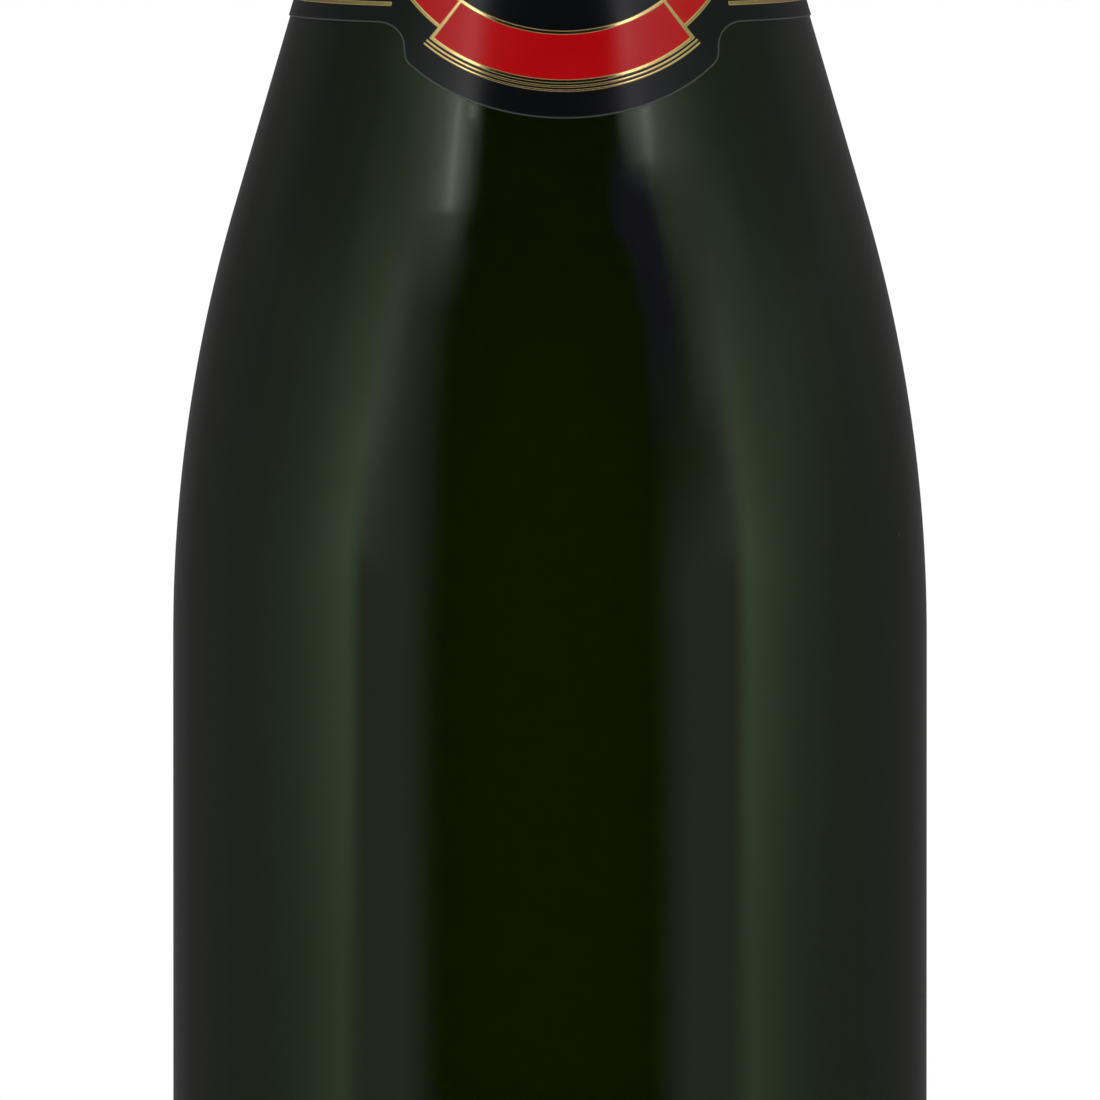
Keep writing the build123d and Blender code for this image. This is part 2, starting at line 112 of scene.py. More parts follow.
def rounded(points, radii, steps):
    """A line through the points with its inner corners rounded: one radius for each of them."""
    line = [points[0]]
    for before, corner, after, radius in zip(points, points[1:], points[2:], radii):
        a, b, c = Vector(before), Vector(corner), Vector(after)
        u, v = (a - b).normalized(), (c - b).normalized()
        half = u.angle(v) / 2
        reach = radius / tan(half)
        middle = b + (u + v).normalized() * radius / sin(half)
        start, end = b + u * reach - middle, b + v * reach - middle
        turn = start.angle_signed(end)
        for i in range(steps + 1):
            part = -turn * i / steps
            across = middle.x + start.x * cos(part) - start.y * sin(part)
            line.append((across, middle.y + start.x * sin(part) + start.y * cos(part)))
    return line + [points[-1]]


def stepped(low, high, count):
    """Values from low to high in equal steps, both ends included."""
    return [low + (high - low) * i / count for i in range(count + 1)]


def finer(line, step):
    """The line's points with more between them, about a step apart, and without the last one."""
    result = []
    for a, b in zip(line, line[1:]):
        span = max(1, round((Vector(b) - Vector(a)).length / step))
        result += [(a[0] + (b[0] - a[0]) * i / span, a[1] + (b[1] - a[1]) * i / span) for i in range(span)]
    return result


def side_line(low, high, outset):
    """Points of the bottle's side between two heights, 2 mm apart."""
    count = max(1, round(abs(high - low) / 2.0))
    return [(side_radius(z, outset), z) for z in stepped(low, high, count)]


def ramp(value, low, high):
    """0 below low, 1 above high and smooth between."""
    part = min(1.0, max(0.0, (value - low) / (high - low)))
    return part * part * (3 - 2 * part)


# Meshes
def row_faces(rows):
    """Faces between closed rows of point numbers. A pole's row is one number, repeated."""
    faces = []
    for low, high in zip(rows, rows[1:]):
        for i in range(len(low)):
            j = (i + 1) % len(low)
            faces.append(tuple(dict.fromkeys((low[i], low[j], high[j], high[i]))))
    return faces


def ring_faces(rings, around):
    """Faces between rings that have that many points each."""
    return row_faces([range(j * around, (j + 1) * around) for j in range(rings)])


def turned(line, around):
    """Vertices and faces of a line of (radius, height) points turned about Z. A radius of 0 is a pole."""
    points, rows = [], []
    for radius, z in line:
        count = around if radius else 1
        rows.append([len(points) + i % count for i in range(around)])
        turns = [2 * pi * i / around for i in range(count)]
        points += [(radius * cos(a), radius * sin(a), z) for a in turns]
    return points, row_faces(rows)


def new_object(name, data):
    """A new object in the scene."""
    made = bpy.data.objects.new(name, data)
    bpy.context.scene.collection.objects.link(made)
    return made


def new_mesh(name, points, faces, material):
    """A smooth mesh with its finish, its points in metres."""
    mesh = bpy.data.meshes.new(name)
    mesh.from_pydata(points, [], faces)
    mesh.polygons.foreach_set("use_smooth", [True] * len(faces))
    mesh.materials.append(material)
    return mesh


def make_piece(name, points, faces, material, body, slot, stands_for=(), flat=None, rim=None, sharp=38.0):
    """A finished mesh piece: its points in millimetres, its finish, and the body that it rides."""
    mesh = new_mesh(name, [Vector(p) * MM for p in points], faces, material)
    mesh.update()
    mesh.validate()
    mesh.set_sharp_from_angle(angle=radians(sharp))
    if flat:
        spread = mesh.attributes.new("flat", "FLOAT_VECTOR", "POINT")
        spread.data.foreach_set("vector", [value for place in flat for value in place])
        mesh.attributes.new("rim", "FLOAT", "POINT").data.foreach_set("value", rim)
    piece = new_object(name, mesh)
    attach(piece, body)
    if stands_for:
        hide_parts(*stands_for)


def thin_piece(name, outer, inner, faces, *rest, flat=None, rim=None):
    """A thin wall from its outer and inner points, which have the same faces, closed round its edges."""
    count = len(outer)
    edges = {(a, b) for face in faces for a, b in zip(face, face[1:] + face[:1])}
    shell = list(faces) + [tuple(count + i for i in reversed(face)) for face in faces]
    shell += [(b, a, count + a, count + b) for a, b in sorted(edges) if (b, a) not in edges]
    twice, rims = (flat + flat, rim + rim) if flat else (None, None)
    make_piece(name, list(outer) + list(inner), shell, *rest, flat=twice, rim=rims)


def wrapped(angle, radius, z):
    """A point on a round surface, by its angle from the front, counted to the right."""
    return radius * sin(angle), -radius * cos(angle), z


# Materials
def linear(code):
    """A colour written as sRGB hex, as the linear colour that the shaders take."""
    parts = [int(code[i : i + 2], 16) / 255 for i in (0, 2, 4)]
    return tuple(p / 12.92 if p <= 0.04045 else ((p + 0.055) / 1.055) ** 2.4 for p in parts) + (1.0,)


def add(kind, *values, tree=None, stops=(), **settings):
    """Adds a node and gives its first output in use.

    kind is the node's type, less any ShaderNode. The values go to its inputs in use, in their order, and
    each setting goes to the property or input of that name. A value is an output, a number, a row of
    numbers, an sRGB hex colour or None. Without a tree, the node joins the outputs that feed it."""
    sockets = [v for v in (*values, *settings.values()) if isinstance(v, bpy.types.NodeSocket)]
    tree = tree or sockets[0].id_data
    made = tree.nodes.new(kind if "Node" in kind else "ShaderNode" + kind)
    for name in [name for name in settings if hasattr(made, name)]:
        setattr(made, name, settings.pop(name))
    for _ in stops[2:]:
        made.color_ramp.elements.new(0.5)
    for i, (place, colour) in enumerate(stops):
        element = made.color_ramp.elements[i]
        element.position, element.color = place, linear(colour)
    taken = [*zip((s for s in made.inputs if s.enabled), values)]
    taken += [(made.inputs[name], value) for name, value in settings.items()]
    for socket, value in taken:
        if isinstance(value, bpy.types.NodeSocket):
            tree.links.new(value, socket)
        elif value is not None:
            socket.default_value = linear(value) if isinstance(value, str) else value
    return next((s for s in made.outputs if s.enabled), None)


def scale_for(size):
    """The scale at which a pattern repeats about every so many mm."""
    return 1 / (size * MM)


def new_finish(name):
    """An empty material, and each point's place in its own object in metres."""
    material = bpy.data.materials.new(name)
    material.use_nodes = True
    material.node_tree.nodes.clear()
    return material, add("TexCoord", tree=material.node_tree).node.outputs["Object"]


def finished(material, surface, dye=()):
    """The material with that surface: an output, or a dict of the usual surface shader's inputs.

    dye is the colour and density of what fills it."""
    if isinstance(surface, dict):
        surface = add("BsdfPrincipled", tree=material.node_tree, **surface)
    filling = add("VolumeAbsorption", *dye, tree=material.node_tree) if dye else None
    add("OutputMaterial", surface, filling)
    return material


def bottle_glass():
    """Moulded dark green glass: mirror-smooth, faintly wavy from the mould, almost black where thick.

    The mould's ripple is about 30 mm wide and the skin's own unevenness 3 mm. A tiny seed shows here and
    there, and the mould's parting line runs up each side."""
    material, place = new_finish("moulded dark green glass")
    tall = add("Mapping", Vector=place, Scale=(1.0, 1.0, 0.35))
    seed = add("MapRange", add("TexVoronoi", place, scale_for(14)), 0.0, 0.03, 1.0, 0.0)
    beside = add("Math", add("SeparateXYZ", place).node.outputs[1], operation="ABSOLUTE")
    seam = add("MapRange", beside, 0.1 * MM, 0.4 * MM, 1.0, 0.0, interpolation_type="SMOOTHSTEP")
    skin = add("Bump", 1.0, 0.22 * MM, Height=add("TexNoise", tall, scale_for(30), 1.0))
    skin = add("Bump", 1.0, 0.004 * MM, Height=add("TexNoise", place, scale_for(3), 2.0), Normal=skin)
    skin = add("Bump", 1.0, 0.12 * MM, Height=seed, Normal=skin)
    skin = add("Bump", 0.7, 0.08 * MM, Height=seam, Normal=skin)
    glass = {
        "Base Color": (1.0, 1.0, 1.0, 1.0),
        "Roughness": add("MapRange", add("TexNoise", place, scale_for(22), 4.0), 0.4, 0.8, 0.015, 0.06),
        "IOR": 1.52,
        "Transmission Weight": 1.0,
        "Specular Tint": (0.9, 1.0, 0.87, 1.0),
        "Normal": skin,
    }
    return finished(material, glass, ((0.32, 0.39, 0.02, 1.0), 740.0))


def mark_glass():
    """The raised grip marks at the heel: the same green glass, so thick there that it shows black."""
    material, place = new_finish("moulded glass marks")
    worn = add("TexNoise", place, scale_for(6), 3.0)
    glass = {
        "Base Color": add("Mix", worn, "0A1006", "161E10", data_type="RGBA"),
        "Roughness": add("MapRange", worn, 0.35, 0.75, 0.06, 0.35),
        "IOR": 1.52,
    }
    return finished(material, glass)


def white_wine():
    """Sparkling white wine: a clear pale straw liquid, seen only through the glass."""
    material, place = new_finish("clear straw wine")
    tone = add("Mix", add("TexNoise", place, scale_for(60), 1.0), "FFF9E2", "FFFDF2", data_type="RGBA")
    liquid = {"Base Color": tone, "Roughness": 0.0, "IOR": 1.34, "Transmission Weight": 1.0}
    return finished(material, liquid, ((0.96, 0.9, 0.6, 1.0), 6.0))


def printed_label(name, draw):
    """Coated black paper, printed and gold-foiled: satin, with fine fibre. draw gives its two masks."""
    material, place = new_finish(name)
    flat, rim = (add("Attribute", tree=material.node_tree, attribute_name=n) for n in ("flat", "rim"))
    gold, red = draw(flat.node.outputs["Vector"])
    fibre, cloud = add("TexNoise", place, scale_for(0.45), 3.0), add("TexNoise", place, scale_for(9), 3.0)
    black = add("Mix", cloud, "07080A", "0E0F12", data_type="RGBA")
    ink = add("Mix", cloud, "990004", "A20308", data_type="RGBA")
    leaf = add("Mix", fibre, "E3BC6C", "FBE3A4", data_type="RGBA")
    printed = add("Mix", gold, add("Mix", red, black, ink, data_type="RGBA"), leaf, data_type="RGBA")
    paper = add("Bump", 0.3, 0.012 * MM, Height=fibre)
    # A pale grey line along the paper's outline: on the cut edge it is the paper's pale core, and on the
    # face a painted highlight along the edge.
    pale = add("MapRange", rim.node.outputs["Fac"], 0.0, 0.6, 0.8, 0.0)
    satin = add("MapRange", cloud, 0.3, 0.7, 0.15, 0.21)
    sheet = {
        "Base Color": add("Mix", pale, printed, "4C4F4E", data_type="RGBA"),
        "Metallic": add("MapRange", gold, 0.0, 1.0, 0.0, 0.99),
        "Roughness": add("Mix", gold, satin, 0.12, data_type="FLOAT"),
        "IOR": 1.5,
        "Specular IOR Level": 0.32,
        "Normal": add("Bump", 0.5, 0.02 * MM, Height=gold, Normal=paper),
    }
    return finished(material, sheet)


def stripe(value, middle, width, soft=0.06):
    """A mask that is 1 where value lies within half the width of the middle, with soft edges, in mm."""
    far = add("Math", add("Math", value, middle, operation="SUBTRACT"), operation="ABSOLUTE")
    return add("MapRange", far, width / 2 - soft, width / 2 + soft, 1.0, 0.0)


def joined(operation, masks):
    """The masks, joined one after the other by that operation."""
    result = masks[0]
    for mask in masks[1:]:
        result = add("Math", result, mask, operation=operation)
    return result


def both(*masks):
    """Where all of the masks are."""
    return joined("MULTIPLY", masks)


def either(*masks):
    """Where any of the masks is."""
    return joined("MAXIMUM", masks)


def less(mask, hole):
    """A mask with a hole in it."""
    return both(mask, add("Math", 1.0, hole, operation="SUBTRACT"))


def rosette(right, up, size):
    """A plain ornament of that radius: eight filled petals round a bead, in a double ring."""
    square = add("Math", up, up, add("Math", right, right, operation="MULTIPLY"), operation="MULTIPLY_ADD")
    distance = add("Math", square, 0.5, operation="POWER")
    turn = add("Math", add("Math", right, up, operation="ARCTAN2"), 4.0, operation="MULTIPLY")
    swing = add("Math", turn, operation="COSINE")
    lobe = add("Math", swing, operation="ABSOLUTE")
    edge = add("Math", lobe, 0.5 * size, 0.24 * size, operation="MULTIPLY_ADD")
    petals = stripe(add("Math", edge, distance, operation="SUBTRACT"), 0.3 * size, 0.6 * size)
    vein = stripe(distance, 0.47 * size, 0.3 * size)
    veins = [both(stripe(swing, side, 0.03), vein) for side in (1.0, -1.0)]
    flower = less(less(petals, either(*veins)), stripe(distance, 0.0, 0.44 * size))
    rings = ((1.0, 0.07), (0.88, 0.03), (0.0, 0.3))
    return either(flower, *[stripe(distance, at * size, wide * size) for at, wide in rings])


def draw_neck_label(flat):
    """Rings, banner and rules of the neck label, in mm from its middle, as if laid flat."""
    right, up, turn = add("SeparateXYZ", flat).node.outputs
    far = add("VectorMath", add("CombineXYZ", right, up), operation="LENGTH")
    swing = add("Math", right, add("Math", up, -1.0, operation="MULTIPLY"), operation="ARCTAN2")
    spread = add("Math", add("Math", swing, operation="ABSOLUTE"), banner_radius, operation="MULTIPLY")
    along = add("Math", far, -banner_splay, spread, operation="MULTIPLY_ADD")
    whole = 2 * banner_radius * (banner_half_turn - banner_splay)

    def curved(middle, width, longer):
        return both(stripe(far, middle, width), stripe(along, 0.0, whole + longer))

    banner = curved(banner_radius, banner_width, 0.0)
    red_middle = curved(banner_radius, banner_width - banner_inset, -banner_inset)
    below = either(*[curved(radius, width, 0.2) for radius, width in below_banner])
    rings = either(*[stripe(far, radius, frame_width) for radius in frame_radii])
    red_ring = less(stripe(far, red_ring_radius, red_ring_width), banner)
    wings = add("MapRange", add("Math", turn, operation="ABSOLUTE"), rule_start, rule_start + radians(0.4))
    heights = collar_bottom + rule_inset, collar_top - rule_inset
    rules = [stripe(up, (z - roundel_z) / cos(slope), rule_width) for z in heights]
    rules = less(both(either(*rules), wings), stripe(far, 0.0, 2 * clear_radius))
    edge, rings = less(banner, red_middle), less(rings, banner)
    gold = either(edge, below, rings, rules, rosette(right, up, neck_rosette))
    return gold, either(red_middle, red_ring)


def draw_body_label(width, height):
    """A plain body label: a double gold frame, a red band with gold edges, and a rosette over it."""

    def draw(flat):
        right, up, _ = add("SeparateXYZ", flat).node.outputs
        sides, ends = add("Math", right, operation="ABSOLUTE"), add("Math", up, operation="ABSOLUTE")

        def box(inset):
            in_width = stripe(sides, 0.0, width - 2 * inset)
            return both(in_width, stripe(ends, 0.0, height - 2 * inset))

        lines = ((2.0, 0.7), (3.4, 0.25))
        frames = [less(box(inset - line / 2), box(inset + line / 2)) for inset, line in lines]
        inside = stripe(sides, 0.0, width - 2 * lines[1][0])
        band = both(stripe(up, -0.18 * height, 0.17 * height), inside)
        edges = [stripe(up, share * height, 0.4) for share in (-0.095, -0.265)]
        middle = rosette(right, add("Math", up, 0.15 * height, operation="SUBTRACT"), 0.18 * height)
        return either(both(either(*edges), inside), middle, *frames), band

    return draw


def pressed_foil(name, low, high, rough, crease, lines=(), ribs=0.0):
    """Lacquered aluminium foil, smoothed on by hand: soft creases down the neck and a fine crackle.

    The creases are about 5 mm apart and the crackle 2.6 mm, as thin foil takes over a bottle's head.
    lines gives the height and width in mm of fine gold rings printed on it, and ribs the height in mm of
    upright grip ribs, 0.8 mm apart."""
    material, place = new_finish(name)
    parts = add("SeparateXYZ", place).node.outputs
    rings = [stripe(parts[2], z * MM, width * MM, 0.04 * MM) for z, width in lines]
    printed = either(*rings) if rings else 0.0
    turn = add("Math", parts[1], parts[0], operation="ARCTAN2")
    ribbed = add("Math", turn, 2 * pi * hood_radius / 0.8, operation="MULTIPLY")
    rib = add("Math", ribbed, operation="SINE")
    long = add("Mapping", Vector=place, Scale=(1.0, 1.0, 0.22))
    folds, grain = add("TexNoise", long, scale_for(5), 3.0), add("TexNoise", place, scale_for(0.5), 2.0)
    cracks = add("TexVoronoi", place, scale_for(2.6), feature="DISTANCE_TO_EDGE")
    skin = add("Bump", 0.8, crease * MM, Height=folds)
    skin = add("Bump", 0.3, 0.05 * MM, Height=add("MapRange", cracks, 0.0, 0.12), Normal=skin)
    skin = add("Bump", 0.3, 0.02 * MM, Height=grain, Normal=skin)
    # The lacquer's colour follows the creases' height: painted shade in their troughs and a painted
    # highlight on their crests.
    lacquer = add("Mix", folds, low, high, data_type="RGBA")
    foil = {
        "Base Color": add("Mix", printed, lacquer, "EBC777", data_type="RGBA"),
        "Metallic": 0.85,
        "Roughness": add("MapRange", grain, 0.3, 0.7, rough - 0.05, rough + 0.06),
        "Coat Weight": 0.5,
        "Coat Roughness": 0.13,
        "Normal": add("Bump", 1.0, ribs * MM, Height=rib, Normal=skin),
    }
    return finished(material, foil)


def drawn_wire():
    """Galvanised annealed steel wire: grey, half dull, with fine marks from the drawing."""
    material, place = new_finish("galvanised steel wire")
    spots = add("TexNoise", place, scale_for(1.5), 4.0)
    wire = {
        "Base Color": add("Mix", spots, "B4B7BB", "E4E6E8", data_type="RGBA"),
        "Metallic": 1.0,
        "Roughness": add("MapRange", spots, 0.3, 0.7, 0.3, 0.46),
        "Normal": add("Bump", 0.4, 0.02 * MM, Height=add("TexNoise", place, scale_for(0.15), 2.0)),
    }
    return finished(material, wire)


def pressed_cork():
    """Agglomerated cork: pale granules of 1 to 3 mm pressed together, each a slightly other tan, matt."""
    material, place = new_finish("agglomerated cork")
    push = add("TexNoise", place, scale_for(1.3), 3.0).node.outputs["Color"]
    push = add("VectorMath", push, (0.5, 0.5, 0.5), operation="SUBTRACT")
    push = add("VectorMath", push, Scale=1.7 * MM, operation="SCALE")
    torn = add("VectorMath", place, push, operation="ADD")
    seams = add("TexVoronoi", torn, scale_for(1.9), feature="DISTANCE_TO_EDGE")
    shade = add("SeparateColor", add("TexVoronoi", torn, scale_for(1.9)).node.outputs["Color"])
    tans = [(0.0, "8F6238"), (0.3, "C09560"), (0.65, "D9B686"), (1.0, "B58751")]
    tone = add("ValToRGB", shade, stops=tans)
    fine = add("TexNoise", place, scale_for(0.6), 4.0)
    gap = add("MapRange", seams, 0.0, 0.07, 0.4, 0.0)
    granules = add("Mix", fine, tone, "A87B4B", data_type="RGBA")
    parted = add("Bump", 0.5, 0.2 * MM, Height=seams)
    cork = {
        "Base Color": add("Mix", gap, granules, "5C3A1E", data_type="RGBA"),
        "Roughness": 0.82,
        "Normal": add("Bump", 0.5, 0.08 * MM, Height=fine, Normal=parted),
    }
    return finished(material, cork)


def cut_cork():
    """Natural cork disc: close-grained tan with dark pores and faint year lines, waxed to a low sheen."""
    material, place = new_finish("natural cork disc")
    wave = add("TexWave", place, scale_for(9), Distortion=3.0, Detail=3.0, bands_direction="Y")
    pores = add("TexVoronoi", place, scale_for(1.6))
    pit = add("MapRange", pores, 0.12, 0.22, 0.8, 0.0)
    wood = add("Mix", wave.node.outputs["Fac"], "BE8F5A", "D2A874", data_type="RGBA")
    cork = {
        "Base Color": add("Mix", pit, wood, "4E2F18", data_type="RGBA"),
        "Roughness": 0.62,
        "Normal": add("Bump", 0.4, 0.1 * MM, Height=pores),
    }
    return finished(material, cork)


def lacquered_plaque():
    """Tinplate cap disc in black lacquer with gold rings and a rosette: glossy, with small rub marks."""
    material, place = new_finish("lacquered tinplate")
    flat = add("VectorMath", place, Scale=1000.0, operation="SCALE")
    right, up, _ = add("SeparateXYZ", flat).node.outputs
    far = add("VectorMath", add("CombineXYZ", right, up), operation="LENGTH")
    gold = either(rosette(right, up, 6.4), stripe(far, 9.2, 0.5), stripe(far, 12.6, 1.2))
    rub = add("TexNoise", place, scale_for(1.2), 4.0)
    lacquer = add("Mix", rub, "0B0C0D", "1A1B1D", data_type="RGBA")
    plate = {
        "Base Color": add("Mix", gold, lacquer, "D8B063", data_type="RGBA"),
        "Metallic": gold,
        "Roughness": add("MapRange", rub, 0.4, 0.8, 0.16, 0.36),
        "Coat Weight": 0.6,
        "Coat Roughness": 0.08,
        "Normal": add("Bump", 0.6, 0.08 * MM, Height=gold),
    }
    return finished(material, plate)


# Glass and wine
def outer_glass():
    """The glass from the middle of the punt, round the heel and up to the rim of the bore."""
    foot = rounded(
        [(0, punt_depth), (punt_top_radius, punt_depth), (punt_mouth_radius, 0), (bearing_outer, 0)],
        [punt_crown_round, punt_edge_round],
        10,
    )
    turns = stepped(0, pi / 2, 12)[1:]
    heel = [(bearing_outer + heel_radius * sin(a), heel_radius * (1 - cos(a))) for a in turns]
    side = side_line(heel_radius, ring_bottom - ring_root_round, 0.0)[1:]
    corners = [
        (neck_radius, ring_bottom, ring_root_round / 2),
        (ring_radius, ring_bottom, ring_round),
        (ring_radius, ring_bottom + ring_height, ring_round),
        (groove_radius, groove_bottom, groove_round),
        (groove_radius, crown_bottom - groove_round, groove_round / 2),
        (crown_radius, crown_bottom + groove_round, groove_round / 2),
        (crown_radius, bottle_height, crown_round),
        (bore_radius, bottle_height, lip_round),
        (bore_radius, bottle_height - crown_round, None),
    ]
    finish = rounded([side[-1]] + [c[:2] for c in corners], [c[2] for c in corners[:-1]], 5)[1:]
    return foot + heel + side + finish


def hollow(inset):
    """The bottle's hollow from the bore down to the middle of the floor, drawn in by inset."""
    depth = -wall - inset
    floor = base_thickness + inset
    side = side_line(ring_bottom - bore_taper_drop, cylinder_top, depth)
    bottom = rounded(
        [
            side[-1],
            (body_radius + depth, floor),
            (punt_mouth_radius + punt_wall_shift + inset, floor),
            (punt_top_radius + punt_wall_shift + inset, punt_depth + floor),
            (0, punt_depth + floor),
        ],
        [inner_heel_round, inner_valley_round, punt_crown_round + punt_wall_shift],
        8,
    )
    return [(bore_radius - inset, bottle_height - cork_insertion / 2)] + side + bottom[1:]


points, faces = turned(outer_glass() + hollow(0.0), 256)
make_piece("bottle_glass", points, faces, bottle_glass(), "bottle", "dark_glass", ["glass_bottle"])

wine_side = [p for p in hollow(wine_gap)[1:] if p[1] < fill_level]
wine_line = [(0, fill_level), (side_radius(fill_level, -wall - wine_gap), fill_level)] + wine_side
points, faces = turned(wine_line[::-1], 192)
make_piece("wine_fill", points, faces, white_wine(), "bottle", "wine", ["wine"])


# Labels
def on_grid(outline, step):
    """Points and triangles that fill a counterclockwise outline: a margin of 0.4 mm and a grid.

    The third result is 0 at the outline's points and 1 inside."""
    ring = [Vector(p) for p in outline]
    count = len(ring)
    near = kdtree.KDTree(count)
    inside = []
    for i, point in enumerate(ring):
        near.insert((point.x, point.y, 0), i)
        along = (ring[(i + 1) % count] - ring[i - 1]).normalized()
        inside.append(point + 0.4 * Vector((-along.y, along.x)))
    near.balance()
    (left, right), (low, high) = ((min(values), max(values)) for values in zip(*ring))
    x_count, y_count = int((right - left) / step) + 1, int((high - low) / step) + 1
    for y in stepped(low, high, y_count)[1:-1]:
        for x in stepped(left, right, x_count)[1:-1]:
            if near.find((x, y, 0))[2] > 0.8 * step:
                inside.append(Vector((x, y)))
    edges = [(i, (i + 1) % count) for i in range(count)]
    edges += [(count + a, count + b) for a, b in edges]
    found = geometry.delaunay_2d_cdt(ring + inside, edges, [list(range(count))], 1, 1e-4)
    points, triangles = found[0], [tuple(f) for f in found[2]]
    used = sorted({i for f in triangles for i in f})
    place = {old: new for new, old in enumerate(used)}
    kept = []
    for a, b, c in triangles:
        area = (points[b] - points[a]).cross(points[c] - points[a])
        kept.append((place[a], place[b], place[c]) if area > 0 else (place[a], place[c], place[b]))
    edge = [0.0 if i < count else 1.0 for i in used]
    return [points[i] for i in used], kept, edge


def neck_label_outline(unit):
    """The collar label's outline: x is the angle from the front times unit, y the height."""
    past_cut, beside = 0.08, roundel_half_width + 5.0

    def front_view(turn):
        z = roundel_z + roundel_radius * cos(turn) * cos(slope)
        return side_radius(z) * sin(roundel_radius * sin(turn) / side_radius(z)), z

    def on_paper(place):
        x, z = place
        return asin(x / side_radius(z)) * unit, z

    def crossing(outside, inside):
        """The turn between the two at which the circle meets the straight side."""
        for _ in range(40):
            middle = (outside + inside) / 2
            if front_view(middle)[0] > roundel_half_width:
                outside = middle
            else:
                inside = middle
        return outside

    def back_end(z):
        return (pi - asin(collar_back_gap / 2 / side_radius(z))) * unit

    low_cut, high_cut = crossing(radians(110), pi), crossing(radians(60), 0.0)
    low_side = [front_view(low_cut + past_cut), front_view(low_cut), (roundel_half_width, collar_bottom)]
    low_side = rounded(low_side + [(beside, collar_bottom)], [roundel_corner, collar_fillet], 6)
    high_side = [(beside, collar_top), (roundel_half_width, collar_top), front_view(high_cut)]
    high_side = rounded(high_side + [front_view(high_cut - past_cut)], [collar_fillet, roundel_corner], 6)
    half = [on_paper(front_view(t)) for t in stepped(pi, low_cut + past_cut + 0.01, 44)]
    half += [on_paper(p) for p in low_side[1:-1]]
    half += [(x, collar_bottom) for x in stepped(half[-1][0], back_end(collar_bottom), 90)][1:]
    half += [(back_end(z), z) for z in stepped(collar_bottom, collar_top, 30)][1:]
    upper = [on_paper(p) for p in high_side[1:-1]]
    half += [(x, collar_top) for x in stepped(back_end(collar_top), upper[0][0], 90)][1:-1]
    half += upper
    half += [on_paper(front_view(t)) for t in stepped(high_cut - past_cut - 0.01, 0, 56)]
    return half + [(-x, z) for x, z in reversed(half[1:-1])]


def make_neck_label():
    """The collar label, which steps over the foil sleeve's edge as soft paper does."""
    unit, step_below, step_above = 27.0, 1.4, 0.1
    places, triangles, rim = on_grid(neck_label_outline(unit), 1.0)

    def lift(z):
        """How far the paper's inner side stands off the glass."""
        part = ramp(z, sleeve_bottom - step_below, sleeve_bottom - step_above)
        return label_gap + (foil_gap + foil_thickness) * part

    outer, inner, flat = [], [], []
    for x, z in places:
        angle = x / unit
        outer.append(wrapped(angle, side_radius(z, lift(z) + label_thickness), z))
        inner.append(wrapped(angle, side_radius(z, lift(z)), z))
        flat.append((angle * side_radius(z), (z - roundel_z) / cos(slope), angle))
    finish = printed_label("foiled black label paper, neck", draw_neck_label)
    rest = finish, "bottle", "label_paper", ["neck_label"]
    thin_piece("neck_paper", outer, inner, triangles, *rest, flat=flat, rim=rim)


def make_body_label(side, size, bottom, facing):
    """A body label with rounded corners. facing is 0 for the front and pi for the back."""
    radius = body_radius + label_gap
    (width, height), half = size, size[0] / 2
    square = [(half, 0), (half, height), (-half, height), (-half, 0)]
    outline = finer(rounded([(0, 0)] + square + [(0, 0)], [label_corner] * 4, 6), 1.0)
    places, triangles, rim = on_grid(outline, 1.2)
    outer = [wrapped(facing + x / radius, radius + label_thickness, bottom + y) for x, y in places]
    inner = [wrapped(facing + x / radius, radius, bottom + y) for x, y in places]
    flat = [(x, y - height / 2, 0.0) for x, y in places]
    finish = printed_label(f"foiled black label paper, {side}", draw_body_label(width, height))
    rest = finish, "bottle", "label_paper", [f"{side}_label"]
    thin_piece(f"{side}_paper", outer, inner, triangles, *rest, flat=flat, rim=rim)


make_neck_label()
make_body_label("front", front_label_size, front_label_bottom, 0.0)
make_body_label("back", back_label_size, back_label_bottom, pi)


# Foils
def sleeve_push(angle, z):
    """How far the neck foil stands out, in mm: soft creases down the neck, none under the label."""
    around = Vector((cos(angle) * 3.0, sin(angle) * 3.0, z * 0.03))
    close = Vector((cos(angle) * 9.0, sin(angle) * 9.0, z * 0.12 + 7.0))
    crease = 0.5 + 0.5 * noise.noise(around) + 0.35 * noise.noise(close)
    return 0.16 * max(0.0, crease) * ramp(z, 234, 242) * (1 - ramp(z, 262, 269.5))


def hood_push(angle, z):
    """How far the hood stands out, in mm: pleats gathered over the shoulder and soft dents below."""
    around = Vector((cos(angle) * 4.0, sin(angle) * 4.0, z * 0.05))
    shift = noise.noise(Vector((cos(angle) * 2.2, sin(angle) * 2.2, 3.0)))
    pleat = abs(sin(13 * angle + 2.4 * shift + 0.02 * (z - 310))) ** 0.6
    gathered = 0.1 * pleat * ramp(z, 303, 315) * (1 - ramp(z, 321, 323.6))
    dents = 0.09 * max(0.0, 0.45 + noise.noise(around)) * ramp(z, 276.5, 281) * (1 - ramp(z, 318, 322))
    return gathered + dents


def still(angle, z):
    """A foil that lies smooth."""
    return 0.0


